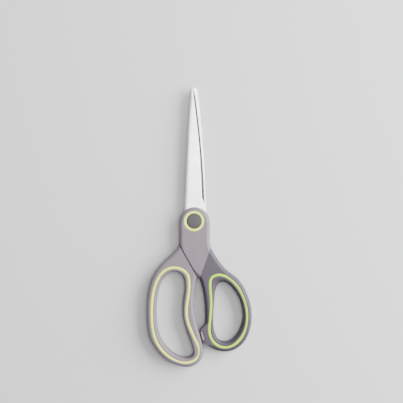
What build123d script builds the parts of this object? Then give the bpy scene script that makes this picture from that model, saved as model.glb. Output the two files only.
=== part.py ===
from build123d import *
import os

# Office scissors lying flat, in millimetres. The pivot axis is X = Y = 0, the underside is
# Z = 0, the blades point along +Y and the thumb loop is on the +X side.

# ---- driving dimensions -------------------------------------------------------------------
HANDLE_T = 10.4            # thickness of both handles
LAP_LOW = 5.1              # top of the finger half where it runs under the thumb half
LAP_HIGH = 5.3             # underside of the thumb half above it
BLADE_T = 2.0
BLADE_TIP_Y = 97.3
REAR_FACE = LAP_LOW - BLADE_T      # outer face of the finger blade
FRONT_FACE = LAP_HIGH + BLADE_T    # outer face of the thumb blade
OUTER_R = 2.8              # rounding round the outside of the handles
FINGER_HOLE_R = 2.0        # rounding into the finger hole
THUMB_HOLE_R = 1.25        # rounding into the thumb hole
BAND_W = 1.95              # width of the accent bands seen from above
LAP_GAP = 0.8              # groove along the sloping lap edge
FAR = 90.0                 # further than any cut has to reach

BOSS_LEFT, BOSS_RIGHT = -10.85, 11.45
BOSS_SHOULDER_Y = -1.0     # where the boss's straight sides meet its round top

SHANK_R = 2.5              # rivet shank
BORE_R = 2.55              # thumb blade's bore, a running fit on the shank
HEAD_R, HEAD_T, HEAD_CHAMFER = 4.0, 1.2, 0.5
TAIL_R, TAIL_T, TAIL_CHAMFER = 3.6, 1.0, 0.4
WASHER_T = 0.5
SLIP_WASHER_R = 7.0
POCKET_R = 4.6             # round pocket over each end of the rivet
CAP_R, RING_R = 5.55, 7.4
CAP_T = 1.2
SKIRT_W, SKIRT_PLAY = 0.8, 0.1         # the caps' skirts, and their play in the pocket
FRONT_SKIRT_T, REAR_SKIRT_T = 0.6, 0.3
TONGUE_R, TONGUE_T = 7.8, 1.5          # the thumb handle's tongue inside the cover
TONGUE_ARM = [
    (-7.4, -1.0), (7.8, -1.0), (9.0, -24.0), (9.9, -25.3), (4.6, -39.9), (3.4, -38.0),
    (-5.8, -20.0),
]

EDGE_BEVEL_W, EDGE_BEVEL_T = 1.2, 1.6
SPINE_BEVEL_W, SPINE_BEVEL_T = 1.9, 0.7
KEY_HOLE_R = 1.6           # hole in each tang, filled by the handle's plastic
THUMB_KEY, FINGER_KEY = (7.0, -26.0), (-6.0, -23.0)

# ---- outlines -----------------------------------------------------------------------------
# The sloping lap edge, from the outer corner of the boss down to the tip of the cover.
LAP_TOP, LAP_END = Vector(-10.6, -17.2), Vector(2.0, -39.6)
# The line where the cover stops and the thumb handle's own plastic begins.
CREASE_TOP, CREASE_END = Vector(11.9, -19.8), Vector(4.3, -40.7)

# Finger handle: down the inner side of the loop, round it and up the outer side.
FINGER_SIDE = [
    (BOSS_RIGHT, -7.5), (BOSS_RIGHT, -14.0), (9.9, -21.5), (4.7, -36.4), (1.9, -41.6),
    (0.8, -48.3), (-0.15, -56.9), (0.2, -64.2), (1.45, -71.4), (5.6, -85.8), (6.9, -93.1),
    (5.1, -100.5), (-0.7, -105.0), (-5.1, -105.9), (-10.1, -105.2), (-21.0, -100.3),
    (-28.0, -93.1), (-32.2, -85.8), (-34.6, -71.4), (-34.4, -56.9), (-32.7, -46.8),
    (-29.6, -38.9), (-25.3, -32.4), (-19.9, -27.0), (-14.5, -22.1), (-11.5, -17.6),
    (BOSS_LEFT, -13.0), (BOSS_LEFT, -7.0),
]
FINGER_BAND = [
    (-17.3, -34.0), (-11.6, -34.0), (-7.7, -35.6), (-4.7, -38.8), (-3.6, -43.2),
    (-3.9, -52.2), (-5.2, -61.5), (-4.8, -71.4), (-2.2, -79.0), (0.9, -85.8), (3.6, -92.6),
    (3.6, -96.4), (1.4, -99.8), (-2.6, -101.9), (-7.5, -102.5), (-17.3, -98.7),
    (-24.4, -91.9), (-28.3, -84.5), (-30.6, -69.2), (-29.7, -53.2), (-26.9, -43.4),
    (-23.0, -37.4),
]
FINGER_HOLE = [
    (-15.0, -36.9), (-10.5, -38.0), (-7.7, -41.9), (-7.0, -46.8), (-8.2, -56.9),
    (-8.6, -64.0), (-7.9, -72.1), (-4.3, -84.0), (-1.3, -92.0), (-1.2, -96.2),
    (-4.7, -98.8), (-8.4, -98.6), (-15.9, -94.9), (-23.1, -86.6), (-26.7, -75.0),
    (-27.1, -60.6), (-25.3, -49.0), (-21.3, -40.7),
]
# Thumb handle: down the outer side, round the loop, up its inner side and under the lap.
THUMB_SIDE = [
    (BOSS_RIGHT, -7.5), (BOSS_RIGHT, -14.0), (12.4, -19.4), (15.4, -25.1), (19.4, -30.9),
    (23.3, -35.3), (30.6, -41.0), (34.3, -45.0), (38.4, -52.6), (41.2, -61.3),
    (41.9, -69.9), (40.6, -78.6), (37.1, -86.6), (32.2, -91.6), (25.3, -94.5),
    (18.8, -94.2), (11.6, -90.9), (8.4, -86.8), (7.6, -80.5), (7.9, -72.0), (7.9, -64.2),
    (7.2, -56.2), (5.2, -45.4), (3.6, -41.6), (0.4, -38.4), (-4.6, -32.6), (-8.8, -25.0),
    (-10.6, -18.5), (BOSS_LEFT, -13.0), (BOSS_LEFT, -7.0),
]
THUMB_BAND = [
    (16.9, -39.0), (24.6, -40.9), (30.4, -46.0), (34.6, -52.4), (37.5, -60.3),
    (38.6, -67.8), (38.0, -75.5), (34.1, -84.3), (30.1, -88.6), (24.6, -91.3),
    (18.5, -90.6), (13.6, -86.8), (11.2, -81.1), (11.3, -73.5), (12.2, -64.5),
    (12.2, -55.4), (11.6, -46.0), (12.8, -41.0),
]
THUMB_HOLE = [
    (21.7, -44.3), (26.0, -46.8), (30.3, -52.2), (33.2, -57.7), (34.9, -64.2),
    (35.3, -69.9), (34.3, -75.0), (30.3, -83.0), (26.7, -86.2), (22.8, -87.3),
    (18.8, -86.4), (15.9, -83.0), (14.5, -78.6), (13.9, -69.0), (14.7, -56.9),
    (16.4, -47.4), (18.4, -44.9),
]
STOP_TAB = [
    (11.4, -71.5), (7.9, -73.3), (4.4, -78.8), (6.6, -87.1), (13.4, -92.6), (17.4, -91.6),
    (14.0, -87.6), (11.8, -84.0),
]
TAB_R, TAB_CHAMFER = 0.7, 0.6
BUMPER_W = 1.3
BUMPER_Y = (-79.8, -86.2)
BUMPER_Z = (0.8, 9.6)


# ---- helpers ------------------------------------------------------------------------------
def prism(face, low, high):
    """A flat face raised into a solid between two heights."""
    return extrude(face.moved(Location((0, 0, low))), amount=high - low, dir=(0, 0, 1))


def disc(radius, low, high, hole=0.0):
    """A round plate about the pivot axis, with an optional hole."""
    plate = Cylinder(radius, high - low, align=(Align.CENTER, Align.CENTER, Align.MIN))
    if hole:
        plate -= Cylinder(hole, high - low, align=(Align.CENTER, Align.CENTER, Align.MIN))
    return plate.moved(Location((0, 0, low)))


def loop_face(points):
    """The area inside a smooth closed curve through the points."""
    return make_face(Spline(*points, periodic=True))


def offset_loop_face(clockwise_points, amount, samples=48):
    """The area inside the smooth closed curve, moved outwards by the amount."""
    curve = Spline(*clockwise_points, periodic=True)
    moved = []
    for step in range(samples):
        along = curve.tangent_at(step / samples)
        outwards = Vector(-along.Y, along.X)
        moved.append(curve.position_at(step / samples) + outwards * amount)
    return make_face(Spline(*moved, periodic=True))


def handle_face(side):
    """A handle's whole outline: round the top of the boss, then along the side points."""
    centre = Vector((BOSS_LEFT + BOSS_RIGHT) / 2, BOSS_SHOULDER_Y)
    radius = (BOSS_RIGHT - BOSS_LEFT) / 2
    turns = range(180, -1, -20)
    top = [centre + Vector(radius, 0).rotate(Axis.Z, angle) for angle in turns]
    return loop_face(top + [Vector(point) for point in side])


def beyond(start, end, shift, tail, side):
    """The area on one side of a line moved sideways by shift, ending a tail past its end."""
    along = (end - start).normalized()
    across = Vector(-along.Y, along.X) * shift
    first, last = start - along * FAR + across, end + along * tail + across
    reach = Vector(side * FAR, 0)
    return make_face(Polyline(first, last, last + reach, first + reach, close=True))


def rounded_blank(outline, hole, hole_radius):
    """A handle before it is divided: full thickness, rounded outside and into its hole."""
    blank = prism(outline, 0, HANDLE_T)
    blank = fillet(flat_edges(blank), OUTER_R)
    opening = prism(hole, 0, HANDLE_T)
    blank -= opening
    rim = [edge for edge in flat_edges(blank) if on_wall(edge, hole)]
    return fillet(rim, hole_radius)


def flat_edges(solid):
    """The edges lying in the top and bottom faces."""
    edges = solid.edges()
    return [
        edge
        for edge in edges
        if edge.bounding_box().size.Z < 0.001
        and (abs(edge.center().Z) < 0.001 or abs(edge.center().Z - HANDLE_T) < 0.001)
    ]


def on_wall(edge, face):
    """True where an edge has the same extent as a hole's outline."""
    found, wanted = edge.bounding_box().size, face.bounding_box().size
    return abs(found.X - wanted.X) < 0.05 and abs(found.Y - wanted.Y) < 0.05


def divided(blank, band_points):
    """Body, accent band and liner cut from one blank by the band's two walls."""
    outer = prism(offset_loop_face(band_points, BAND_W / 2), -1, HANDLE_T + 1)
    inner = prism(offset_loop_face(band_points, -BAND_W / 2), -1, HANDLE_T + 1)
    return blank - outer, blank & (outer - inner), blank & inner


# ---- blades -------------------------------------------------------------------------------
def bevel_cutter(points, width, depth, level, outwards, upwards):
    """What the grinder takes off along a spine or edge: a wedge run through its points."""
    sections = []
    for x, y in points:
        corner = Vector(x + outwards * width / 2, y, level + upwards * depth / 2)
        inner = corner - Vector(outwards * width * 2, 0)
        foot = corner - Vector(0, 0, upwards * depth * 2)
        sections.append(make_face(Polyline(corner, inner, foot, close=True)))
    return loft(sections, ruled=True)


def blade(outline, spine, edge, low, outer_up, bore, key_at):
    """Flat inside, bevelled outside along spine and edge, with a pivot bore and a key hole."""
    high = low + BLADE_T
    level, upwards = (high, 1) if outer_up else (low, -1)
    plate = prism(outline, low, high)
    plate -= bevel_cutter(spine, SPINE_BEVEL_W, SPINE_BEVEL_T, level, -upwards, upwards)
    plate -= bevel_cutter(edge, EDGE_BEVEL_W, EDGE_BEVEL_T, level, upwards, upwards)
    key_hole = disc(KEY_HOLE_R, low, high).moved(Location((*key_at, 0)))
    return plate - disc(bore, low, high) - key_hole


def thumb_blade():
    """Spine on the left, cutting edge on the right, tang slanting into the thumb handle."""
    spine = [(-7.3, 9.0), (-6.2, 37.0), (-5.0, 66.0), (-3.7, 87.6), (-2.6, 98.0)]
    edge = [(7.35, 17.0), (6.25, 36.6), (3.9, 65.5), (0.9, 92.0), (-0.2, 98.0)]
    outline = make_face([
        Spline(*spine[:4]),
        Spline(spine[3], (-3.1, 93.4), (-1.2, BLADE_TIP_Y), (0.0, 95.8), edge[3]),
        Spline(*edge[3::-1]),
        Line(edge[0], (7.6, 15.0)),
        Line((7.6, 15.0), (8.7, 12.2)),
        Line((8.7, 12.2), (8.7, 0.0)),
        Line((8.7, 0.0), (10.6, -33.0)),
        Line((10.6, -33.0), (5.2, -33.0)),
        Line((5.2, -33.0), (-7.6, -4.0)),
        Line((-7.6, -4.0), spine[0]),
    ])
    return blade(outline, spine, edge, LAP_HIGH, True, BORE_R, THUMB_KEY)


def finger_blade():
    """Spine on the right, cutting edge on the left, tang slanting into the finger handle."""
    spine = [(8.8, 9.0), (7.6, 37.0), (5.5, 66.0), (3.45, 87.6), (2.2, 98.0)]
    edge = [(-5.2, 14.6), (-4.4, 36.6), (-2.7, 65.5), (-0.6, 92.0), (-0.2, 98.0)]
    outline = make_face([
        Spline(*spine[:4]),
        Spline(spine[3], (2.5, 93.4), (0.7, BLADE_TIP_Y), (-0.3, 95.8), edge[3]),
        Spline(*edge[3::-1]),
        Line(edge[0], (-6.9, 12.4)),
        Line((-6.9, 12.4), (-6.9, 0.0)),
        Line((-6.9, 0.0), (-9.4, -29.0)),
        Line((-9.4, -29.0), (-3.6, -29.0)),
        Line((-3.6, -29.0), (8.8, -4.0)),
        Line((8.8, -4.0), spine[0]),
    ])
    return blade(outline, spine, edge, REAR_FACE, False, SHANK_R, FINGER_KEY)


# ---- pivot --------------------------------------------------------------------------------
def pivot_rivet():
    """Shank, domed front head and peened tail in one piece."""
    head = disc(HEAD_R, FRONT_FACE, FRONT_FACE + HEAD_T)
    head = chamfer(head.edges().group_by(Axis.Z)[-1], HEAD_CHAMFER)
    tail_top = REAR_FACE - WASHER_T
    tail = disc(TAIL_R, tail_top - TAIL_T, tail_top)
    tail = chamfer(tail.edges().group_by(Axis.Z)[0], TAIL_CHAMFER)
    return head + disc(SHANK_R, tail_top - TAIL_T / 2, FRONT_FACE + HEAD_T / 2) + tail


def rivet_washer():
    return disc(HEAD_R, REAR_FACE - WASHER_T, REAR_FACE, SHANK_R)


def blade_washer():
    """Thin slip washer between the two blades."""
    return disc(SLIP_WASHER_R, LAP_LOW, LAP_HIGH, SHANK_R)


def pivot_cap(low, skirt_low, skirt_high):
    """Snap-in cap with a short skirt that enters the rivet pocket."""
    outer = POCKET_R - SKIRT_PLAY
    return disc(CAP_R, low, low + CAP_T) + disc(outer, skirt_low, skirt_high, outer - SKIRT_W)


def pivot_ring(low):
    return disc(RING_R, low, low + CAP_T, CAP_R)


# ---- handles ------------------------------------------------------------------------------
def finger_parts(tang):
    """Finger handle, band and liner: full thickness, but half under the lap."""
    blank = rounded_blank(handle_face(FINGER_SIDE), loop_face(FINGER_HOLE), FINGER_HOLE_R)
    lapped = beyond(LAP_TOP, LAP_END, -LAP_GAP / 2, FAR, 1)
    blank -= prism(lapped, LAP_LOW, HANDLE_T + 1)
    body, band, liner = divided(blank, FINGER_BAND)
    body -= tang
    body -= disc(RING_R, 0, CAP_T) + disc(POCKET_R, 0, REAR_FACE) + disc(SHANK_R, 0, LAP_LOW)
    return body, band, liner


def cover_tongue():
    """The thumb handle's flat tongue, which carries the cover and clamps the tang."""
    low, high = FRONT_FACE, FRONT_FACE + TONGUE_T
    arm = prism(make_face(Polyline(*TONGUE_ARM, close=True)), low, high)
    key = disc(KEY_HOLE_R, LAP_HIGH, low).moved(Location((*THUMB_KEY, 0)))
    return arm + disc(TONGUE_R, low, high) - disc(POCKET_R, low, high) + key


def thumb_parts(tang):
    """Pivot cover, thumb handle, band and liner: the half above the lap joins the full loop."""
    blank = rounded_blank(handle_face(THUMB_SIDE), loop_face(THUMB_HOLE), THUMB_HOLE_R)
    blank -= prism(beyond(LAP_TOP, LAP_END, LAP_GAP / 2, 2.0, -1), -1, HANDLE_T + 1)
    above_lap = beyond(CREASE_TOP, CREASE_END, 0, 1.6, -1)
    blank -= prism(above_lap, -1, LAP_HIGH)
    cover_space = prism(above_lap, LAP_HIGH, HANDLE_T + 1)
    tongue = cover_tongue()
    cover = (blank & cover_space) - tongue - tang
    cover -= disc(RING_R, HANDLE_T - CAP_T, HANDLE_T) + disc(POCKET_R, LAP_HIGH, HANDLE_T)
    handle = (blank - cover_space) + (tongue & cover_space) + stop_tab()
    strip = bumper_face()
    body, band, liner = divided(handle - tang - prism(strip, -1, HANDLE_T + 1), THUMB_BAND)
    return cover, body, band, liner, prism(strip, *BUMPER_Z)


def stop_tab():
    """The block on the thumb loop that stops the scissors closing too far."""
    tab = prism(make_face(FilletPolyline(*STOP_TAB, radius=TAB_R, close=True)), 0, HANDLE_T)
    levels = tab.edges().group_by(Axis.Z)
    return chamfer(levels[0] + levels[-1], TAB_CHAMFER)


def bumper_face():
    """The strip on the tab's side, which meets the finger loop when the scissors close."""
    upper, lower = Vector(STOP_TAB[2]), Vector(STOP_TAB[3])
    top, bottom = (upper + (lower - upper) * ((y - upper.Y) / (lower.Y - upper.Y))
                   for y in BUMPER_Y)
    width = Vector(BUMPER_W, 0)
    return make_face(Polyline(top, bottom, bottom + width, top + width, close=True))


def make_parts():
    upper_blade, lower_blade = thumb_blade(), finger_blade()
    cover, thumb, thumb_band, thumb_liner, bumper = thumb_parts(upper_blade)
    finger, finger_band, finger_liner = finger_parts(lower_blade)
    front = HANDLE_T - CAP_T
    return {
        "thumb_blade": upper_blade,
        "finger_blade": lower_blade,
        "pivot_rivet": pivot_rivet(),
        "rivet_washer": rivet_washer(),
        "blade_washer": blade_washer(),
        "pivot_cover": cover,
        "thumb_handle": thumb,
        "thumb_accent_band": thumb_band,
        "thumb_liner": thumb_liner,
        "stop_bumper": bumper,
        "finger_handle": finger,
        "finger_accent_band": finger_band,
        "finger_liner": finger_liner,
        "front_pivot_cap": pivot_cap(front, front - FRONT_SKIRT_T, front),
        "front_pivot_ring": pivot_ring(front),
        "rear_pivot_cap": pivot_cap(0, CAP_T, CAP_T + REAR_SKIRT_T),
        "rear_pivot_ring": pivot_ring(0),
    }


os.makedirs("parts", exist_ok=True)
for name, shape in make_parts().items():
    export_step(shape, f"parts/{name}.step")
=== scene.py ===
import math

import bmesh
import bpy
import numpy as np
from bpy.props import FloatProperty, FloatVectorProperty, IntProperty, PointerProperty
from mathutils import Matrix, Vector


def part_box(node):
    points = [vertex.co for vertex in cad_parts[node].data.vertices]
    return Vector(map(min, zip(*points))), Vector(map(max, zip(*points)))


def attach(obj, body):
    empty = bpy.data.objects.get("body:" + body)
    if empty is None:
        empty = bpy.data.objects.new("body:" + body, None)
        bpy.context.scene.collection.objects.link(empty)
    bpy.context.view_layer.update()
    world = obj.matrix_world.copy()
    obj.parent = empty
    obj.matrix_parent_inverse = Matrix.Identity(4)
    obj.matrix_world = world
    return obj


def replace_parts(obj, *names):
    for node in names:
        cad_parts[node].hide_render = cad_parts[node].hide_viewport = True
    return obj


bl_info = {
    "name": "Office scissors",
    "version": (1, 0, 0),
    "blender": (4, 5, 0),
    "location": "3D View > Sidebar > Scissors",
    "description": "Builds a pair of office scissors round its pivot frame",
    "category": "Add Mesh",
}

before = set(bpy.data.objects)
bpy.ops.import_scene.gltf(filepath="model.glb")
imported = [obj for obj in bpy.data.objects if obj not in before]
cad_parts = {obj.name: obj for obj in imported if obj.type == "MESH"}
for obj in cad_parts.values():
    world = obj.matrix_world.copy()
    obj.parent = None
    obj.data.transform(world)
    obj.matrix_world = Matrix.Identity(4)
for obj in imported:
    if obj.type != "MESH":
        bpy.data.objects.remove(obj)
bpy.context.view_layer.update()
MM = 0.001
FINGER, THUMB = "finger_half", "thumb_half"
HANDLE_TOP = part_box("finger_handle")[1].z
FINGER_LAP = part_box("blade_washer")[0].z
THUMB_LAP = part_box("blade_washer")[1].z
BLADE_T = FINGER_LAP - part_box("finger_blade")[0].z
RING_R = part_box("front_pivot_ring")[1].x
LAP_GAP = 0.85 * MM             # groove along the sloping lap edge
CREASE_GAP = 0.06 * MM          # line between the pivot cover and the thumb handle
SKIN = 0.02 * MM                # how far every new wall stays inside the frame's own
LAP_CLEARANCE = 2.5 * SKIN      # how far each lap face lies behind its blade's inner face
SAME_PLACE = 1e-7               # metres within which two points are one
SPAN_STEPS = 24                 # steps between two points of an outline
DIRECTION_STEPS = 900           # points of an outline that is looked up by direction
POCKET_STEPS, TURN_STEPS = 160, 128

# Outlines in millimetres: measured points that a smooth closed curve passes through.
BOSS_LEFT, BOSS_RIGHT, SHOULDER_Y = -10.85, 11.45, -1.0
FINGER_SIDE = [
    (BOSS_RIGHT, -7.5), (BOSS_RIGHT, -14.0), (9.9, -21.5), (4.7, -36.4), (1.9, -41.6),
    (0.8, -48.3), (-0.15, -56.9), (0.2, -64.2), (1.45, -71.4), (5.6, -85.8), (6.9, -93.1),
    (5.1, -100.5), (-0.7, -105.0), (-5.1, -105.9), (-10.1, -105.2), (-21.0, -100.3),
    (-28.0, -93.1), (-32.2, -85.8), (-34.6, -71.4), (-34.4, -56.9), (-32.7, -46.8),
    (-29.6, -38.9), (-25.3, -32.4), (-19.9, -27.0), (-14.5, -22.1), (-11.5, -17.6),
    (BOSS_LEFT, -13.0), (BOSS_LEFT, -7.0),
]
FINGER_BAND = [
    (-17.3, -34.0), (-11.6, -34.0), (-7.7, -35.6), (-4.7, -38.8), (-3.6, -43.2),
    (-3.9, -52.2), (-5.2, -61.5), (-4.8, -71.4), (-2.2, -79.0), (0.9, -85.8), (3.6, -92.6),
    (3.6, -96.4), (1.4, -99.8), (-2.6, -101.9), (-7.5, -102.5), (-17.3, -98.7),
    (-24.4, -91.9), (-28.3, -84.5), (-30.6, -69.2), (-29.7, -53.2), (-26.9, -43.4),
    (-23.0, -37.4),
]
FINGER_HOLE = [
    (-15.0, -36.9), (-10.5, -38.0), (-7.7, -41.9), (-7.0, -46.8), (-8.2, -56.9),
    (-8.6, -64.0), (-7.9, -72.1), (-4.3, -84.0), (-1.3, -92.0), (-1.2, -96.2),
    (-4.7, -98.8), (-8.4, -98.6), (-15.9, -94.9), (-23.1, -86.6), (-26.7, -75.0),
    (-27.1, -60.6), (-25.3, -49.0), (-21.3, -40.7),
]
THUMB_SIDE = [
    (BOSS_RIGHT, -7.5), (BOSS_RIGHT, -14.0), (12.4, -19.4), (15.4, -25.1), (19.4, -30.9),
    (23.3, -35.3), (30.6, -41.0), (34.3, -45.0), (38.4, -52.6), (41.2, -61.3),
    (41.9, -69.9), (40.6, -78.6), (37.1, -86.6), (32.2, -91.6), (25.3, -94.5),
    (18.8, -94.4), (13.4, -92.4), (8.4, -88.7), (6.9, -87.5), (6.35, -86.2),
    (5.4, -82.5), (4.6, -79.6), (4.7, -78.5), (5.8, -77.1), (7.0, -75.6), (7.7, -74.2),
    (7.95, -72.4), (7.9, -64.2), (7.2, -56.2), (5.2, -45.4), (3.6, -41.6), (0.4, -38.4),
    (-4.6, -32.6), (-8.8, -25.0), (-10.6, -18.5), (BOSS_LEFT, -13.0), (BOSS_LEFT, -7.0),
]
THUMB_BAND = [
    (16.9, -39.0), (24.6, -40.9), (30.4, -46.0), (34.6, -52.4), (37.5, -60.3),
    (38.6, -67.8), (38.0, -75.5), (34.1, -84.3), (30.1, -88.6), (24.6, -91.3),
    (18.5, -90.6), (13.6, -86.8), (11.2, -81.1), (11.3, -73.5), (12.2, -64.5),
    (12.2, -55.4), (11.6, -46.0), (12.8, -41.0),
]
THUMB_HOLE = [
    (21.7, -44.3), (26.0, -46.8), (30.3, -52.2), (33.2, -57.7), (34.9, -64.2),
    (35.3, -69.9), (34.3, -75.0), (30.3, -83.0), (26.7, -86.2), (22.8, -87.3),
    (18.8, -86.4), (15.9, -83.0), (14.5, -78.6), (13.9, -69.0), (14.7, -56.9),
    (16.4, -47.4), (18.4, -44.9),
]
# Where the thumb handle's outline is its stop tab's, and over what length that fades.
TAB_FROM_Y, TAB_TO_Y, TAB_X, TAB_FADE = -73.2, -92.5, 15.0, 3.0
BUMPER = [(4.75, -79.9), (6.4, -86.2), (7.7, -86.2), (6.05, -79.9)]
BUMPER_W = 1.3 * MM
BUMPER_PLAY = 0.06 * MM         # between the bumper and its step in the tab
BUMPER_DROP = 0.35 * MM         # the bumper's top below the handle's
BUMPER_ROUNDING = 0.2 * MM
# The sloping lap edge, and the line where the cover meets the thumb handle.
LAP_EDGE = ((-10.6, -17.2), (2.0, -39.6))
CREASE = ((11.9, -19.8), (4.3, -40.7))

# Each blade as stations from tang to tip: (y, spine x, cutting edge x).
THUMB_BLADE = [
    (-16.0, -2.3, 9.6), (-4.0, -7.6, 8.9), (0.0, -7.55, 8.7), (9.0, -7.3, 8.7),
    (12.2, -7.2, 8.7), (13.4, -7.15, 8.35), (14.4, -7.1, 7.85), (15.4, -7.05, 7.52),
    (17.0, -7.0, 7.4), (22.0, -6.8, 7.25), (29.8, -6.5, 6.87), (37.0, -6.2, 6.42),
    (44.2, -5.9, 5.94), (51.4, -5.6, 5.36), (58.7, -5.28, 4.68), (66.0, -5.0, 3.92),
    (73.1, -4.64, 3.12), (80.4, -4.24, 2.22), (87.6, -3.7, 1.34), (91.0, -3.4, 0.76),
    (93.4, -3.1, 0.2), (94.8, -2.82, -0.17), (95.8, -2.5, -0.44), (96.5, -2.12, -0.68),
    (96.95, -1.76, -0.88), (97.2, -1.42, -1.05),
]
FINGER_BLADE = [
    (-16.0, 2.8, -8.5), (-4.0, 8.8, -7.4), (0.0, 8.8, -6.9), (9.0, 8.8, -6.9),
    (12.2, 8.66, -6.9), (13.4, 8.6, -6.5), (14.4, 8.57, -5.8), (15.4, 8.53, -5.25),
    (17.0, 8.46, -5.1), (29.8, 7.95, -4.65), (37.0, 7.6, -4.38), (51.4, 6.65, -3.6),
    (66.0, 5.5, -2.68), (73.1, 4.9, -2.1), (80.4, 4.22, -1.58), (87.6, 3.45, -1.05),
    (91.0, 2.98, -0.8), (93.4, 2.5, -0.62), (94.8, 2.18, -0.5), (95.8, 1.85, -0.36),
    (96.5, 1.5, -0.18), (96.95, 1.18, 0.04), (97.2, 0.9, 0.26),
]
EDGE_STARTS, EDGE_FULL = 12.2 * MM, 17.0 * MM      # where the ground cutting edge runs out
LEAST_CUT = 0.002               # share of the edge that keeps its strips apart before that
# The blades' section, in millimetres where the blade is at least FULL_SECTION wide.
FULL_SECTION = 4.7
SPINE_BEVEL = ((0.0, 0.55), (0.15, 0.4), (1.1, 0.14), (2.5, 0.0))    # inset and drop
EDGE_W, EDGE_EXTRA = 1.36, 0.4  # width of the cutting edge, and what it gains near the pivot
EXTRA_TO_Y, EXTRA_GONE_Y = 20.0, 60.0          # all of that gain, and none of it
LAND_W, LAND_DROP = 0.8, 0.1
EDGE_LIP, EDGE_DROP, EDGE_LOW = 0.05, 1.5, 1.64      # a fine lip along the cutting edge
HOLLOW = 0.09                   # depth of the hollow in the inner face
HOLLOW_FROM, HOLLOW_TO = 0.72, 0.34     # shares of the width, on the inner face

# Height above the middle of the handle in millimetres, and share of the mould line's depth.
MOULD_LINE = ((-0.22, 0.0), (-0.1, 0.7), (0.0, 1.0), (0.1, 0.7), (0.22, 0.0))
# Shares of the lip that a wall stands out, and that it lies in from the face.
LIP_PROFILE = ((1.0, 0.0), (0.3, 0.3), (0.0, 1.0))
# Shares of half the band's width, and of its crown, from one edge to the other.
BAND_PROFILE = ((1.0, 2.2), (0.88, 0.75), (0.5, 0.18), (0.0, 0.0), (-0.5, 0.18),
                (-0.88, 0.75), (-1.0, 2.2))
LINER_CENTRES = {"finger": (-16.5, -67.0), "thumb": (24.5, -66.0)}
LINER_SHELF = 0.12              # share of the liner's width before it starts to roll over
LINER_SQUARENESS = 2.6          # 2 would roll over as an ellipse
LINER_LIP = 0.12 * MM           # how far its edge at the band lies in from the face
LINER_STEPS = 14
THUMB_WAIST_LEAN = 3.4 * MM     # how far the thumb liner's narrowest line tilts
# Turned pieces: millimetres out from a radius, and in from the handle's face. The rim and
# the ring's inner side start at the cap's radius, and its outer side at the ring's own.
POCKET_DEPTH = 1.2
CAP_MIDDLE = ((0.0, 0.10), (0.55, 0.13))    # here the first is a share of the cap's radius
CAP_RIM = ((-0.7, 0.2), (-0.32, 0.26), (-0.12, 0.42), (-0.05, 0.7), (-0.05, POCKET_DEPTH))
RING_INNER = ((0.0, POCKET_DEPTH), (0.0, 0.3), (0.1, 0.1), (0.3, 0.02))
RING_OUTER = ((-0.3, 0.02), (-0.1, 0.08), (0.0, 0.25), (0.0, POCKET_DEPTH))

MOTTLE = 0.05                   # how far a moulding's colour varies either way
BRUSHING_TURN = math.radians(-2.5)
FLOOR_SIZE, FLOOR_DROP = 3.0, 0.05 * MM
SENSOR_W = 36.0
SKY_COLOUR = (0.96, 0.98, 1.0, 1)
# Each light's place and size, in metres.
LIGHTS = {
    "key": ((1.0, 0.35, 0.5), 1.3),
    "fill": ((-0.8, -0.3, 0.7), 0.7),
    "top": ((0.12, 0.12, 1.4), 0.8),
}


# ---- settings in the sidebar --------------------------------------------------------------
def length(name, default, description):
    return FloatProperty(name=name, default=default, description=description,
                         subtype="DISTANCE", unit="LENGTH", precision=5)


def colour(name, default, description):
    return FloatVectorProperty(name=name, default=default, description=description,
                               subtype="COLOR", size=3, min=0.0, max=1.0)


class ScissorsShape(bpy.types.PropertyGroup):
    """Sizes that finish the pieces"""
    rounding: length("Outer rounding", 2.8 * MM, "Radius round the outside of the handles")
    tab_rounding: length("Tab rounding", 0.4 * MM, "Radius round the stop tab")
    lip: length("Lip", 0.16 * MM, "Small bevel where the handle meets its band")
    crown: length("Band crown", 0.14 * MM, "How far a band's middle stands above its edges")
    band_width: length("Band width", 1.95 * MM, "Width of the bands seen from above")
    parting: length("Parting line", 0.09 * MM, "Depth of the mould line round the handles")
    outline_steps: IntProperty(name="Outline steps", default=320, min=64, max=600,
                               description="Points round each closed outline")
    arc_steps: IntProperty(name="Arc steps", default=9, min=3, max=24,
                           description="Segments across each rounding")


class ScissorsColours(bpy.types.PropertyGroup):
    """Colours of the moulded pieces, and of the steel"""
    light_grey: colour("Light grey", (0.184, 0.150, 0.180), "Finger handle and pivot cover")
    # The thumb handle's grey is the light grey darkened as painted shade, as if that handle lay
    # in shade; its liner takes it too.
    painted_shade_grey: colour("Dark grey", (0.066, 0.055, 0.072), "Thumb handle")
    cap_grey: colour("Cap grey", (0.047, 0.040, 0.048), "Pivot caps")
    pale_lime: colour("Pale lime", (0.80, 0.95, 0.12), "Finger band and pivot rings")
    # The thumb band's lime is the pale lime darkened as painted shade, as if that loop lay in
    # shade.
    deep_lime: colour("Deep lime", (0.45, 0.76, 0.025), "Thumb band")
    steel: colour("Steel", (0.83, 0.83, 0.83), "Blades and rivet")
    # Near black: the cutting edge's coarser grind is its own, its darkness is painted shade for
    # the dark line along the edge.
    cutting_edge_painted_shade: colour("Cutting edge", (0.046, 0.039, 0.036), "Ground cutting edges")
    nylon: colour("Nylon", (0.82, 0.82, 0.79), "Washer between the blades")
    floor: colour("Floor", (0.68, 0.68, 0.68), "Plain floor under the scissors")


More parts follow.
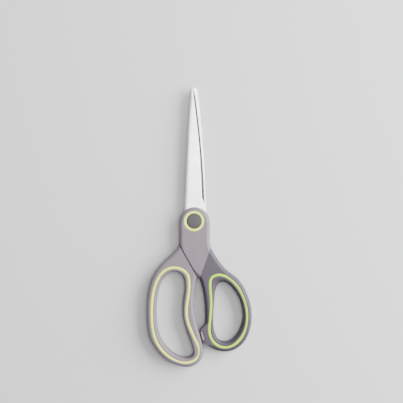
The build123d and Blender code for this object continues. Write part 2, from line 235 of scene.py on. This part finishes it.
class ScissorsStage(bpy.types.PropertyGroup):
    """Camera and light"""
    lens: FloatProperty(name="Lens", default=85.0, unit="CAMERA", description="Focal length")
    view_width: length("View width", 291.2 * MM, "Width of the view at the scissors")
    view_x: length("View centre X", 5.4 * MM, "Middle of the view across the blades")
    view_y: length("View centre Y", 14.2 * MM, "Middle of the view along the blades")
    key_power: FloatProperty(name="Key light", default=75.0, description="Power in watts")
    fill_power: FloatProperty(name="Fill light", default=0.3, description="Power in watts")
    top_power: FloatProperty(name="Top light", default=13.4, description="Power in watts")
    sky: FloatProperty(name="Sky", default=0.2, description="Brightness of the surroundings")


# ---- outlines -----------------------------------------------------------------------------
def ramp(value, start, end):
    """How far a value has gone from start to end, between 0 and 1."""
    return np.clip((value - start) / (end - start), 0, 1)


def smooth_loop(points, steps, inset=SKIN):
    """Evenly spaced points, anticlockwise, on the smooth closed curve through the outline."""
    at = np.array(points, float) * MM
    after = np.roll(at, -1, 0)
    span = np.linalg.norm(after - at, axis=1)
    before = np.roll(span, 1)
    count = len(at)
    matrix = np.zeros((count, count))
    for i in range(count):
        matrix[i, i - 1] += 1 / before[i]
        matrix[i, i] += 2 / before[i] + 2 / span[i]
        matrix[i, (i + 1) % count] += 1 / span[i]
    rise = (after - at) / (span ** 2)[:, None]
    slope = np.linalg.solve(matrix, 3 * (rise + np.roll(rise, 1, 0)))
    t = np.linspace(0, 1, SPAN_STEPS, endpoint=False)[:, None]
    fine = np.concatenate([
        at[i] * (1 + 2 * t) * (1 - t) ** 2 + after[i] * t * t * (3 - 2 * t)
        + span[i] * (slope[i] * t * (1 - t) ** 2 - slope[(i + 1) % count] * t * t * (1 - t))
        for i in range(count)
    ])
    x, y = fine.T
    if np.sum(x * np.roll(y, -1) - y * np.roll(x, -1)) < 0:
        fine = fine[::-1]
    closed = np.vstack([fine, fine[:1]])
    run = np.concatenate([[0], np.cumsum(np.linalg.norm(np.diff(closed, axis=0), axis=1))])
    even = np.linspace(0, run[-1], steps, endpoint=False)
    loop = np.stack([np.interp(even, run, closed[:, k]) for k in (0, 1)], 1)
    return offset(loop, -inset)


def offset(loop, distance):
    """An anticlockwise loop moved sideways, outwards where the distance is positive."""
    along = np.roll(loop, -1, 0) - np.roll(loop, 1, 0)
    normal = np.stack([along[:, 1], -along[:, 0]], 1)
    normal /= np.linalg.norm(normal, axis=1)[:, None]
    return loop + np.reshape(distance, (-1, 1)) * normal


def handle_loop(side, steps):
    """A handle's outline: round the top of the boss, then along its side points."""
    middle, radius = (BOSS_LEFT + BOSS_RIGHT) / 2, (BOSS_RIGHT - BOSS_LEFT) / 2
    turn = [math.radians(angle) for angle in range(180, -1, -20)]
    top = [(middle + radius * math.cos(a), SHOULDER_Y + radius * math.sin(a)) for a in turn]
    return smooth_loop(top + side, steps)


def notched(loop):
    """The thumb handle's outline with a step in its stop tab, for the bumper to stand in."""
    x, y = loop.T
    low, high = BUMPER[1][1] * MM - BUMPER_PLAY, BUMPER[0][1] * MM + BUMPER_PLAY
    inside = ramp(y, low, low + BUMPER_PLAY) * ramp(y, high, high - BUMPER_PLAY)
    inside *= (x > 0) & (x < BUMPER[2][0] * MM)
    return np.stack([x + inside * (BUMPER_W + BUMPER_PLAY), y], 1)


def at_height(loop, z):
    return [Vector((x, y, level)) for (x, y), level in zip(loop, np.broadcast_to(z, len(loop)))]


# ---- mesh helpers -------------------------------------------------------------------------
def skin(bm, rings):
    """Extrudes a closed ring of edges through a stack of rings; returns each ring's edges."""
    verts = [bm.verts.new(point) for point in rings[0]]
    made = [[bm.edges.new(pair) for pair in zip(verts, verts[1:] + verts[:1])]]
    for points in rings[1:]:
        order = {vert.co.to_tuple(): i for i, vert in enumerate(verts)}
        raised = bmesh.ops.extrude_edge_only(bm, edges=made[-1])["geom"]
        for vert in [item for item in raised if isinstance(item, bmesh.types.BMVert)]:
            verts[order[vert.co.to_tuple()]] = vert
        for vert, point in zip(verts, points):
            vert.co = point
        made.append([bm.edges.get(pair) for pair in zip(verts, verts[1:] + verts[:1])])
    return made


def fill(bm, edges):
    bmesh.ops.triangle_fill(bm, use_beauty=True, use_dissolve=False, edges=edges)


def cut(bm, point, normal, keep_under=True):
    """Cuts the whole mesh on a plane, keeps one side of it and closes the cut."""
    geometry = bm.verts[:] + bm.edges[:] + bm.faces[:]
    made = bmesh.ops.bisect_plane(bm, geom=geometry, plane_co=point, plane_no=normal,
                                  clear_outer=keep_under, clear_inner=not keep_under)
    rim = [item for item in made["geom_cut"] if isinstance(item, bmesh.types.BMEdge)]
    fill(bm, rim)


def line_plane(line, shift=0.0):
    """A vertical plane on a line: a point moved sideways by the shift, and its right normal."""
    start, end = (Vector((x * MM, y * MM, 0)) for x, y in line)
    along = (end - start).normalized()
    right = Vector((-along.y, along.x, 0))
    return start + right * shift, right


def rounded_rings(loop, shape, thumb):
    """Rings up the outside of a handle, from its underside to its top, with the mould line."""
    x, y = loop.T / MM
    tab = ramp(x, TAB_X, TAB_X - TAB_FADE) * ramp(y, TAB_FROM_Y, TAB_FROM_Y - TAB_FADE)
    tab *= ramp(y, TAB_TO_Y, TAB_TO_Y + TAB_FADE) * (x > 0) * thumb
    radius = shape.rounding + tab * (shape.tab_rounding - shape.rounding)
    rings = []
    quarter = [math.pi / 2 * step / shape.arc_steps for step in range(shape.arc_steps + 1)]
    for angle in quarter:
        rings.append(at_height(offset(loop, -radius * (1 - math.sin(angle))),
                               radius * (1 - math.cos(angle))))
    for rise, depth in MOULD_LINE:
        rings.append(at_height(offset(loop, -shape.parting * depth),
                               HANDLE_TOP / 2 + rise * MM))
    for angle in reversed(quarter):
        rings.append(at_height(offset(loop, -radius * (1 - math.sin(angle))),
                               HANDLE_TOP - radius * (1 - math.cos(angle))))
    return rings


def finished(bm, name, body, materials, sharp=35.0):
    """Turns a bmesh into a piece that rides on a body and takes its look from materials."""
    bmesh.ops.remove_doubles(bm, verts=bm.verts, dist=SAME_PLACE)
    bmesh.ops.recalc_face_normals(bm, faces=bm.faces)
    for face in bm.faces:
        face.smooth = True
    for edge in bm.edges:
        edge.smooth = len(edge.link_faces) == 2 and edge.calc_face_angle() < math.radians(sharp)
    mesh = bpy.data.meshes.new(name)
    bm.to_mesh(mesh)
    bm.free()
    piece = bpy.data.objects.new(name, mesh)
    bpy.context.scene.collection.objects.link(piece)
    for material in materials:
        mesh.materials.append(material)
    weighted = piece.modifiers.new("Even shading", "WEIGHTED_NORMAL")
    weighted.keep_sharp = True
    weighted.weight = 80
    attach(piece, body)
    return piece


# ---- materials ----------------------------------------------------------------------------
class Graph:
    """A material's node tree, with the few nodes that these finishes are made of."""

    def __init__(self, name):
        self.material = bpy.data.materials.new(name)
        self.material.use_nodes = True
        self.tree = self.material.node_tree
        self.shader = self.tree.nodes["Principled BSDF"]
        self.coordinates = self.add("ShaderNodeTexCoord").outputs["Object"]

    def add(self, kind, **values):
        node = self.tree.nodes.new(kind)
        for name, value in values.items():
            if hasattr(node, name):
                setattr(node, name, value)
            else:
                self.put(node, name.replace("_", " ").title(), value)
        return node

    def put(self, node, socket, value):
        if isinstance(value, bpy.types.NodeSocket):
            self.tree.links.new(value, node.inputs[socket])
        else:
            node.inputs[socket].default_value = value

    def stretched(self, scale, turn=0.0):
        """Object coordinates scaled along each axis, after a turn about Z."""
        mapping = self.add("ShaderNodeMapping", vector_type="TEXTURE")
        self.put(mapping, "Vector", self.coordinates)
        self.put(mapping, "Rotation", (0, 0, turn))
        self.put(mapping, "Scale", [1 / part for part in scale])
        return mapping.outputs["Vector"]

    def noise(self, vector, scale, detail=3.0, roughness=0.5):
        node = self.add("ShaderNodeTexNoise", scale=scale, detail=detail)
        self.put(node, "Roughness", roughness)
        self.put(node, "Vector", vector)
        return node.outputs["Fac"]

    def spread(self, value, low, high, start=0.3, end=0.7):
        """A value between two limits, for roughness."""
        node = self.add("ShaderNodeMapRange")
        for socket, number in (("Value", value), ("From Min", start), ("From Max", end),
                               ("To Min", low), ("To Max", high)):
            self.put(node, socket, number)
        return node.outputs["Result"]

    def between(self, factor, first, second):
        """A colour between two, chosen by the factor."""
        node = self.add("ShaderNodeMix", data_type="RGBA")
        self.put(node, 0, factor)
        self.put(node, 6, (*first, 1))
        self.put(node, 7, (*second, 1))
        return node.outputs[2]

    def raised(self, height, depth, under=None):
        """Surface relief from a height value, on top of any relief under it."""
        node = self.add("ShaderNodeBump")
        self.put(node, "Height", height)
        self.put(node, "Distance", depth)
        self.put(node, "Strength", 1.0)
        if under is not None:
            self.put(node, "Normal", under)
        return node.outputs["Normal"]


def tinted(colour, factor):
    return [min(1.0, part * factor) for part in colour]


def moulded(name, colour, rough=0.42, grain=0.012 * MM, coat=0.0):
    """Moulded plastic: a fine spark-eroded grain, faint flow mottling and soft sheen."""
    graph = Graph(name)
    mottle = graph.noise(graph.coordinates, scale=120.0, detail=4.0, roughness=0.6)
    speckle = graph.noise(graph.coordinates, scale=2600.0, detail=2.0)
    base = graph.between(graph.spread(mottle, 0.0, 1.0), tinted(colour, 1 - MOTTLE),
                         tinted(colour, 1 + MOTTLE))
    graph.put(graph.shader, "Base Color", base)
    graph.put(graph.shader, "Roughness", graph.spread(speckle, rough - 0.05, rough + 0.06))
    cells = graph.add("ShaderNodeTexVoronoi", scale=2900.0, feature="SMOOTH_F1")
    graph.put(cells, "Vector", graph.coordinates)
    relief = graph.raised(cells.outputs["Distance"], grain)
    graph.put(graph.shader, "Normal", graph.raised(speckle, grain * 0.6, relief))
    graph.shader.inputs["Coat Weight"].default_value = coat
    graph.shader.inputs["Coat Roughness"].default_value = 0.3
    graph.shader.inputs["Specular IOR Level"].default_value = 0.28
    return graph.material


def ground_steel(name, colour, turn, rough, lines=9000.0, depth=0.0012 * MM):
    """Steel ground along one direction, with fine lines, faint smears and few deeper marks."""
    graph = Graph(name)
    across = graph.stretched((lines, lines * 0.012, lines), turn)
    fine = graph.noise(across, scale=1.0, detail=2.0, roughness=0.55)
    wider = graph.stretched((lines * 0.2, lines * 0.004, lines * 0.2), turn)
    coarse = graph.noise(wider, scale=1.0)
    smear = graph.noise(graph.coordinates, scale=45.0, detail=3.0)
    base = graph.between(graph.spread(coarse, 0.0, 1.0), tinted(colour, 0.94), colour)
    graph.put(graph.shader, "Base Color", base)
    graph.shader.inputs["Metallic"].default_value = 1.0
    graph.put(graph.shader, "Roughness", graph.spread(smear, rough - 0.04, rough + 0.05))
    relief = graph.raised(coarse, depth * 2)
    graph.put(graph.shader, "Normal", graph.raised(fine, depth, relief))
    return graph.material


def turned_steel(name, colour):
    """Steel turned on a lathe, with rings about the pivot axis."""
    graph = Graph(name)
    waves = graph.add("ShaderNodeTexWave", wave_type="RINGS", rings_direction="Z", scale=900.0)
    graph.put(waves, "Vector", graph.coordinates)
    graph.put(waves, "Distortion", 1.5)
    graph.put(graph.shader, "Base Color", graph.between(waves.outputs["Fac"],
                                                        tinted(colour, 0.9), colour))
    graph.shader.inputs["Metallic"].default_value = 1.0
    graph.put(graph.shader, "Roughness", graph.spread(waves.outputs["Fac"], 0.28, 0.36))
    graph.put(graph.shader, "Normal", graph.raised(waves.outputs["Fac"], 0.002 * MM))
    return graph.material


def floor_finish(colour):
    graph = Graph("pale_floor")
    cloud = graph.noise(graph.coordinates, scale=14.0, detail=3.0)
    graph.put(graph.shader, "Base Color",
              graph.between(cloud, tinted(colour, 0.985), colour))
    graph.put(graph.shader, "Roughness", graph.spread(cloud, 0.72, 0.78))
    return graph.material


# ---- pieces -------------------------------------------------------------------------------
def hull(side, band, shape, thumb):
    """A handle's whole shell: outside, walls of the band opening, top, underside and pocket."""
    outer = handle_loop(side, shape.outline_steps * 2)
    if thumb:
        outer = notched(outer)
    opening = offset(smooth_loop(band, shape.outline_steps, 0), shape.band_width / 2 + SKIN)
    bm = bmesh.new()
    walls = skin(bm, rounded_rings(outer, shape, thumb))
    lip = shape.lip
    under = [at_height(offset(opening, lip * out), lip * down) for out, down in LIP_PROFILE]
    over = [at_height(offset(opening, lip * out), HANDLE_TOP - lip * down)
            for out, down in reversed(LIP_PROFILE)]
    inner = skin(bm, under + over)
    top, up = (HANDLE_TOP, 1) if thumb else (0.0, -1)
    turn = np.linspace(0, 2 * math.pi, POCKET_STEPS, endpoint=False)
    circle = (RING_R + SKIN) * np.stack([np.cos(turn), np.sin(turn)], 1)
    rim = [at_height(offset(circle, lip * out), top - up * lip * down)
           for out, down in LIP_PROFILE]
    pocket = skin(bm, rim + [at_height(circle, top - up * POCKET_DEPTH * MM)])
    fill(bm, pocket[-1])
    fill(bm, walls[0] + inner[0] + ([] if thumb else pocket[0]))
    fill(bm, walls[-1] + inner[-1] + (pocket[0] if thumb else []))
    return bm


def finger_shell(bm):
    """Takes away the half above the lap, right of the sloping edge, and closes the step."""
    floor_z = FINGER_LAP - LAP_CLEARANCE
    point, right = line_plane(LAP_EDGE, -LAP_GAP / 2)
    geometry = bm.verts[:] + bm.edges[:] + bm.faces[:]
    bmesh.ops.bisect_plane(bm, geom=geometry, plane_co=point, plane_no=right)
    beyond = [face for face in bm.faces if (face.calc_center_median() - point).dot(right) > 0]
    verts = {vert for face in beyond for vert in face.verts}
    edges = {edge for face in beyond for edge in face.edges}
    bmesh.ops.bisect_plane(bm, geom=list(verts) + list(edges) + beyond,
                           plane_co=(0, 0, floor_z), plane_no=(0, 0, 1))
    gone = [face for face in bm.faces
            if (face.calc_center_median() - point).dot(right) > 0
            and face.calc_center_median().z > floor_z]
    bmesh.ops.delete(bm, geom=gone, context="FACES")
    rim = [edge for edge in bm.edges if edge.is_boundary]
    corners = [vert for vert in {v for edge in rim for v in edge.verts}
               if abs(vert.co.z - floor_z) < SAME_PLACE
               and abs((vert.co - point).dot(right)) < 10 * SAME_PLACE]
    if len(corners) != 2:
        raise RuntimeError(f"the lap step has {len(corners)} corners")
    step = bm.edges.new(corners)
    low = [edge for edge in rim
           if all(abs(vert.co.z - floor_z) < SAME_PLACE for vert in edge.verts)]
    wall = [edge for edge in rim if edge not in low]
    fill(bm, low + [step])
    fill(bm, wall + [step])


def star_loop(points, centre, steps):
    """A closed outline sampled by direction from its centre, anticlockwise."""
    loop = smooth_loop(points, DIRECTION_STEPS, 0) - centre
    angle = np.arctan2(loop[:, 1], loop[:, 0])
    radius = np.linalg.norm(loop, axis=1)
    turn = np.linspace(0, 2 * math.pi, steps, endpoint=False)
    reach = np.interp(turn, angle, radius, period=2 * math.pi)
    return centre + reach[:, None] * np.stack([np.cos(turn), np.sin(turn)], 1)


class SCISSORS_OT_blades(bpy.types.Operator):
    """Model both ground steel blades"""
    bl_idname = "scissors.blades"
    bl_label = "Blades"

    def execute(self, context):
        colours = context.scene.scissors_colours
        steel, along = colours.steel, BRUSHING_TURN
        looks = [
            ground_steel("blade_flat", steel, along, rough=0.30),
            ground_steel("blade_spine", tinted(steel, 0.82), along, rough=0.34),
            ground_steel("blade_land", steel, along, rough=0.2, lines=5000.0),
            # The ground edge's coarser grind is real; its near-black steel is painted shade
            # along the edge.
            ground_steel("blade_edge", colours.cutting_edge_painted_shade, along, rough=0.5, lines=6000.0),
            ground_steel("blade_inner", tinted(steel, 1.04), along, rough=0.26, lines=7000.0),
        ]
        for name, node, stations, inner_z, up, body in (
                ("thumb_blade_ground", "thumb_blade", THUMB_BLADE, THUMB_LAP, 1, THUMB),
                ("finger_blade_ground", "finger_blade", FINGER_BLADE, FINGER_LAP, -1, FINGER)):
            bm, strips = self.ground(stations, inner_z, up)
            for number, edges in enumerate(strips):
                look = self.LOOK_OF[number]
                for face in {face for edge in edges for face in edge.link_faces}:
                    unground = look in self.GROUND and face.calc_center_median().y < EDGE_STARTS
                    face.material_index = self.SPINE if unground else look
            piece = finished(bm, name, body, looks, sharp=13.0)
            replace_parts(piece, node)
        return {"FINISHED"}

    # Which look each strip of the section has, round from the spine's inner corner. The land
    # and the cutting edge take the spine's look on the ricasso, which is not ground.
    LOOK_OF = (1, 1, 1, 1, 0, 2, 3, 3, 3, 4, 4, 4)
    SPINE, GROUND = 1, (2, 3)

    def ground(self, stations, inner_z, up):
        """A blade's sections from tang to tip: spine bevel, flat, bright land, cutting edge.

        Both room and ground are one millimetre of the section, shrunk where the blade is
        narrow, and ground also where the cutting edge runs out.
        """
        y, spine, edge = (np.array(column) * MM for column in zip(*stations))
        fine = np.unique(np.concatenate([np.linspace(y[0], y[-1], 110), y]))
        rings = []
        for at in fine:
            back, front = np.interp(at, y, spine), np.interp(at, y, edge)
            across = front - back
            width = abs(across)
            room = MM * min(1.0, width / (FULL_SECTION * MM))
            ground = room * max(LEAST_CUT, ramp(at, EDGE_STARTS, EDGE_FULL))
            bevel = ground * (EDGE_W + EDGE_EXTRA * ramp(at / MM, EXTRA_GONE_Y, EXTRA_TO_Y))
            # Distance in from the spine, and drop below the outer face.
            section = [(0.0, BLADE_T)]
            section += [(inset * room, drop * room) for inset, drop in SPINE_BEVEL]
            section += [
                (width - bevel - LAND_W * ground, 0.0),
                (width - bevel, LAND_DROP * ground),
                (width - EDGE_LIP * ground, EDGE_DROP * ground),
                (width, EDGE_LOW * ground),
                (width, BLADE_T),
                (width * HOLLOW_FROM, BLADE_T - HOLLOW * ground),
                (width * HOLLOW_TO, BLADE_T - HOLLOW * ground),
            ]
            rings.append([
                Vector((back + across * inset / width, at, inner_z + up * (BLADE_T - drop)))
                for inset, drop in section])
        bm = bmesh.new()
        made = skin(bm, rings)
        fill(bm, made[0])
        fill(bm, made[-1])
        return bm, list(zip(*made))


class SCISSORS_OT_handles(bpy.types.Operator):
    """Model the finger handle, the thumb handle and the cover over the pivot"""
    bl_idname = "scissors.handles"
    bl_label = "Handles and cover"

    def execute(self, context):
        shape, colours = context.scene.scissors_shape, context.scene.scissors_colours
        light = moulded("light_grey_moulding", colours.light_grey)
        # The thumb handle's darker grey is painted shade, not a colour of its own.
        dark = moulded("dark_grey_moulding", colours.painted_shade_grey)
        bm = hull(FINGER_SIDE, FINGER_BAND, shape, thumb=False)
        finger_shell(bm)
        piece = finished(bm, "finger_handle_shell", FINGER, [light])
        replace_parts(piece, "finger_handle")

        bm = hull(THUMB_SIDE, THUMB_BAND, shape, thumb=True)
        cut(bm, *line_plane(CREASE, CREASE_GAP / 2), keep_under=False)
        piece = finished(bm, "thumb_handle_shell", THUMB, [dark])
        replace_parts(piece, "thumb_handle")

        bm = hull(THUMB_SIDE, THUMB_BAND, shape, thumb=True)
        cut(bm, *line_plane(CREASE, -CREASE_GAP / 2))
        lap = Vector((0, 0, THUMB_LAP + LAP_CLEARANCE))
        cut(bm, lap, Vector((0, 0, 1)), keep_under=False)
        cut(bm, *line_plane(LAP_EDGE, LAP_GAP / 2), keep_under=False)
        piece = finished(bm, "pivot_cover_shell", THUMB, [light])
        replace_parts(piece, "pivot_cover")
        return {"FINISHED"}


class SCISSORS_OT_bands(bpy.types.Operator):
    """Model the two accent bands, crowned across their width"""
    bl_idname = "scissors.bands"
    bl_label = "Accent bands"

    def execute(self, context):
        colours = context.scene.scissors_colours
        for name, points, body, lime, colour_of in (
                ("finger", FINGER_BAND, FINGER, "pale_lime", colours.pale_lime),
                # The thumb band's deeper lime is painted shade.
                ("thumb", THUMB_BAND, THUMB, "deep_lime", colours.deep_lime)):
            look = moulded(f"{lime}_moulding", colour_of, rough=0.36, grain=0.006 * MM, coat=0.1)
            self.band(f"{name}_band", f"{name}_accent_band", points, body,
                      f"{lime}_plastic", look)
        return {"FINISHED"}

    def band(self, name, node, points, body, slot, look):
        shape = bpy.context.scene.scissors_shape
        middle = smooth_loop(points, shape.outline_steps, 0)
        half, crown = shape.band_width / 2, shape.crown
        rings = [at_height(offset(middle, half * side), HANDLE_TOP - crown * fall)
                 for side, fall in BAND_PROFILE]
        rings += [at_height(offset(middle, half * side), crown * fall)
                  for side, fall in reversed(BAND_PROFILE)]
        bm = bmesh.new()
        skin(bm, rings + rings[:1])
        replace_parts(finished(bm, name, body, [look], sharp=60.0), node)


class SCISSORS_OT_liners(bpy.types.Operator):
    """Model the soft liners that round over into each loop"""
    bl_idname = "scissors.liners"
    bl_label = "Loop liners"

    def execute(self, context):
        colours = context.scene.scissors_colours
        for loop, band, hole, lean, body, grip, grey in (
                ("finger", FINGER_BAND, FINGER_HOLE, 0.0, FINGER, "light_soft_grip",
                 colours.light_grey),
                # The thumb liner's grey is painted shade, as on its handle.
                ("thumb", THUMB_BAND, THUMB_HOLE, THUMB_WAIST_LEAN, THUMB, "dark_soft_grip",
                 colours.painted_shade_grey)):
            bm = self.liner(band, hole, LINER_CENTRES[loop], lean)
            look = moulded(grip, grey, rough=0.55, grain=0.02 * MM)
            piece = finished(bm, f"{loop}_liner_grip", body, [look], sharp=60.0)
            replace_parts(piece, f"{loop}_liner")
        return {"FINISHED"}

    def liner(self, band, hole, centre, lean):
        """Rings from the band over the top, down through the narrowest line and back under."""
        shape = bpy.context.scene.scissors_shape
        steps, centre = shape.outline_steps, np.array(centre) * MM
        outer = star_loop(band, centre, steps)
        outer = offset(outer, -shape.band_width / 2 - SKIN)
        inner = star_loop(hole, centre, steps)
        turn = np.linspace(0, 2 * math.pi, steps, endpoint=False)
        waist = HANDLE_TOP / 2 - lean * np.cos(turn)
        sides = []
        for top, down in ((HANDLE_TOP, -LINER_LIP), (0.0, LINER_LIP)):
            rings = [at_height(outer, top + down)]
            for step in range(LINER_STEPS + 1):
                inwards = 1 - math.cos(math.pi / 2 * step / LINER_STEPS)
                share = LINER_SHELF + (1 - LINER_SHELF) * inwards
                level = math.sqrt(1 - inwards ** LINER_SQUARENESS)
                rings.append(at_height(outer + (inner - outer) * share,
                                       waist + (top - waist) * level))
            sides.append(rings)
        upper, lower = sides
        bm = bmesh.new()
        skin(bm, upper + lower[-2::-1] + upper[:1])
        return bm


class SCISSORS_OT_stop(bpy.types.Operator):
    """Model the bumper strip that stands in the stop tab"""
    bl_idname = "scissors.stop"
    bl_label = "Stop bumper"

    def execute(self, context):
        grey = context.scene.scissors_colours.light_grey
        # The bumper is the light grey made 1.8 times lighter: partly the rubber's own paler
        # tone, partly painted light so the strip low in its notch looks lit.
        look = moulded("bumper_rubber", tinted(grey, 1.8), rough=0.6, grain=0.02 * MM)
        low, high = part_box("stop_bumper")[0].z, HANDLE_TOP - BUMPER_DROP
        bm = bmesh.new()
        face = bm.faces.new([bm.verts.new((x * MM, y * MM, low)) for x, y in BUMPER])
        raised = bmesh.ops.extrude_face_region(bm, geom=[face])["geom"]
        verts = [item for item in raised if isinstance(item, bmesh.types.BMVert)]
        bmesh.ops.translate(bm, verts=verts, vec=(0, 0, high - low))
        bmesh.ops.bevel(bm, geom=bm.edges[:], offset=BUMPER_ROUNDING, segments=5,
                        profile=0.5, affect="EDGES", material=-1)
        piece = finished(bm, "stop_bumper_strip", THUMB, [look])
        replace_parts(piece, "stop_bumper")
        return {"FINISHED"}


class SCISSORS_OT_pivot(bpy.types.Operator):
    """Model the caps and rings over the pivot, and finish the rivet and washers inside"""
    bl_idname = "scissors.pivot"
    bl_label = "Pivot"

    def execute(self, context):
        colours = context.scene.scissors_colours
        cap = moulded("cap_moulding", colours.cap_grey, rough=0.38, grain=0.008 * MM, coat=0.15)
        lime = moulded("ring_moulding", colours.pale_lime, rough=0.34, grain=0.006 * MM,
                       coat=0.15)
        cap_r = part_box("front_pivot_cap")[1].x
        cap_profile = [(cap_r * share, depth) for share, depth in CAP_MIDDLE]
        cap_profile += [(cap_r + out * MM, depth) for out, depth in CAP_RIM]
        ring_profile = [(cap_r + out * MM, depth) for out, depth in RING_INNER]
        ring_profile += [(RING_R + out * MM, depth) for out, depth in RING_OUTER]
        for side, body, top, inwards in (("front", THUMB, HANDLE_TOP, -1),
                                         ("rear", FINGER, 0.0, 1)):
            self.turned(f"{side}_cap", f"{side}_pivot_cap", body, "cap_plastic", cap, top,
                        inwards, cap_profile)
            self.turned(f"{side}_ring", f"{side}_pivot_ring", body, "pale_lime_plastic", lime,
                        top, inwards, ring_profile)
        steel = turned_steel("rivet_steel", colours.steel)
        nylon = moulded("washer_nylon", colours.nylon, rough=0.4, grain=0.004 * MM)
        for node, look in (("pivot_rivet", steel), ("rivet_washer", steel),
                           ("blade_washer", nylon)):
            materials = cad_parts[node].data.materials
            materials.clear()
            materials.append(look)
        return {"FINISHED"}

    def turned(self, name, node, body, slot, look, top, inwards, profile):
        """A profile of radii in metres and depths in millimetres, spun about the pivot axis."""
        bm = bmesh.new()
        verts = [bm.verts.new((radius, 0, top + inwards * depth * MM))
                 for radius, depth in profile]
        edges = [bm.edges.new(pair) for pair in zip(verts, verts[1:])]
        if profile[0][0] > 0:
            edges.append(bm.edges.new((verts[-1], verts[0])))
        bmesh.ops.spin(bm, geom=verts + edges, cent=(0, 0, 0), axis=(0, 0, 1),
                       angle=2 * math.pi, steps=TURN_STEPS, use_merge=True)
        bmesh.ops.remove_doubles(bm, verts=bm.verts, dist=SAME_PLACE)
        bmesh.ops.holes_fill(bm, edges=[edge for edge in bm.edges if edge.is_boundary])
        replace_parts(finished(bm, name, body, [look], sharp=40.0), node)


class SCISSORS_OT_stage(bpy.types.Operator):
    """Set up the floor, the soft studio light and the camera"""
    bl_idname = "scissors.stage"
    bl_label = "Stage"

    def execute(self, context):
        stage, colours = context.scene.scissors_stage, context.scene.scissors_colours
        bm = bmesh.new()
        bmesh.ops.create_grid(bm, x_segments=4, y_segments=4, size=FLOOR_SIZE)
        bmesh.ops.translate(bm, verts=bm.verts, vec=(0, 0, -FLOOR_DROP))
        mesh = bpy.data.meshes.new("floor")
        bm.to_mesh(mesh)
        bm.free()
        floor = bpy.data.objects.new("floor", mesh)
        mesh.materials.append(floor_finish(colours.floor))
        context.scene.collection.objects.link(floor)
        target = Vector((stage.view_x, stage.view_y, 0))
        for name, (place, size) in LIGHTS.items():
            self.light(name, place, size, getattr(stage, f"{name}_power"), target)
        world = bpy.data.worlds.new("studio")
        world.use_nodes = True
        background = world.node_tree.nodes["Background"]
        background.inputs["Color"].default_value = SKY_COLOUR
        background.inputs["Strength"].default_value = stage.sky
        context.scene.world = world
        camera = bpy.data.cameras.new("camera")
        camera.lens, camera.sensor_width = stage.lens, SENSOR_W
        camera.clip_start, camera.clip_end = 0.01, 20.0
        eye = bpy.data.objects.new("camera", camera)
        distance = stage.view_width * stage.lens / camera.sensor_width
        eye.location = target + Vector((0, 0, distance + HANDLE_TOP))
        context.scene.collection.objects.link(eye)
        context.scene.camera = eye
        return {"FINISHED"}

    def light(self, name, place, size, power, target):
        """A square soft light that faces the target."""
        lamp = bpy.data.lights.new(name, "AREA")
        lamp.size, lamp.energy = size, power
        thing = bpy.data.objects.new(name, lamp)
        thing.location = place
        thing.rotation_euler = (target - Vector(place)).to_track_quat("-Z", "Y").to_euler()
        bpy.context.scene.collection.objects.link(thing)


class SCISSORS_PT_panel(bpy.types.Panel):
    """Lists the build steps with their sizes and colours"""
    bl_label = "Scissors"
    bl_idname = "SCISSORS_PT_panel"
    bl_space_type = "VIEW_3D"
    bl_region_type = "UI"
    bl_category = "Scissors"

    def draw(self, context):
        for operator in OPERATORS:
            self.layout.operator(operator.bl_idname)
        for name in SETTINGS:
            settings = getattr(context.scene, name)
            box = self.layout.box()
            for setting in settings.bl_rna.properties.keys():
                if setting not in ("rna_type", "name"):
                    box.prop(settings, setting)


SETTINGS = {
    "scissors_shape": ScissorsShape,
    "scissors_colours": ScissorsColours,
    "scissors_stage": ScissorsStage,
}
OPERATORS = (
    SCISSORS_OT_blades,
    SCISSORS_OT_handles,
    SCISSORS_OT_bands,
    SCISSORS_OT_liners,
    SCISSORS_OT_stop,
    SCISSORS_OT_pivot,
    SCISSORS_OT_stage,
)


def register():
    for group in (*SETTINGS.values(), *OPERATORS, SCISSORS_PT_panel):
        bpy.utils.register_class(group)
    for name, group in SETTINGS.items():
        setattr(bpy.types.Scene, name, PointerProperty(type=group))


def unregister():
    for name in SETTINGS:
        delattr(bpy.types.Scene, name)
    for group in reversed((*SETTINGS.values(), *OPERATORS, SCISSORS_PT_panel)):
        bpy.utils.unregister_class(group)


def main():
    register()
    for step in ("blades", "handles", "bands", "liners", "stop", "pivot", "stage"):
        getattr(bpy.ops.scissors, step)()


if __name__ == "__main__":
    main()
